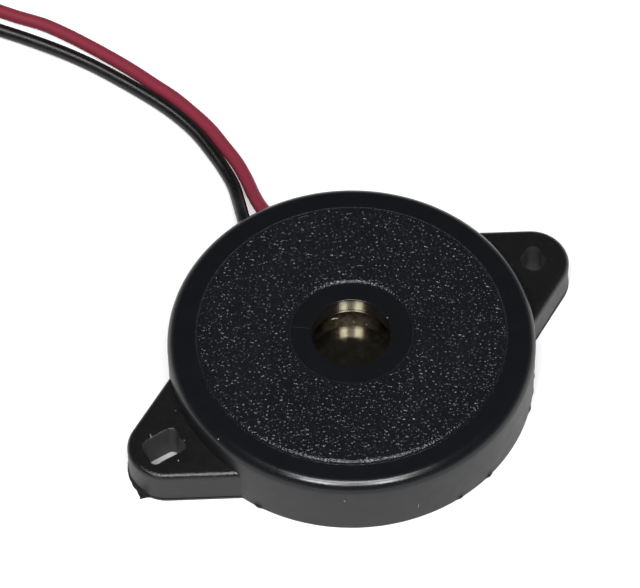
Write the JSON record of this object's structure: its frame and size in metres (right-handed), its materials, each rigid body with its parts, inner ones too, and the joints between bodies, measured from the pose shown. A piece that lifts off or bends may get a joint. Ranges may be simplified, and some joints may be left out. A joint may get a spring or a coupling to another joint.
{
  "type": "piezo buzzer",
  "caption": "Round flat piezo buzzer in a black case with a central sound port, two screw ears and two free leads.",
  "frame": {"origin": "on the case's axis, in the plane of the case's foot and the undersides of the ears", "axes": "+X along the two ears toward the round screw hole, +Y toward the lead exit, +Z out of the sound port"},
  "size_m": [0.0528, 0.0857, 0.0072],
  "materials": {
    "black_plastic": "smooth satin moulding with a finely spark-eroded sound face",
    "cover_plastic": "satin",
    "clear_glue": "glossy",
    "brass_sheet": "rolled, lightly tarnished",
    "silvered_ceramic": "fired silver, dull",
    "white_glue": "satin",
    "solder": "bright",
    "tinned_copper": "satin",
    "black_sealant": "glossy",
    "red_insulation": "smooth satin",
    "black_insulation": "smooth satin",
    "tie_strip": "satin"
  },
  "bodies": {
    "root": {"case": "black_plastic", "back_cover": "cover_plastic", "cover_glue": "clear_glue", "brass_diaphragm": "brass_sheet", "piezo_ceramic": "silvered_ceramic", "diaphragm_glue": "white_glue", "red_solder": "solder", "black_solder": "solder", "red_inner_core": "tinned_copper", "black_inner_core": "tinned_copper", "lead_seal": "black_sealant", "red_lead": "red_insulation", "black_lead": "black_insulation", "red_lead_coil": "red_insulation", "black_lead_coil": "black_insulation", "coil_tie": "tie_strip", "red_bare_end": "tinned_copper", "black_bare_end": "tinned_copper"}
  },
  "joints": []
}
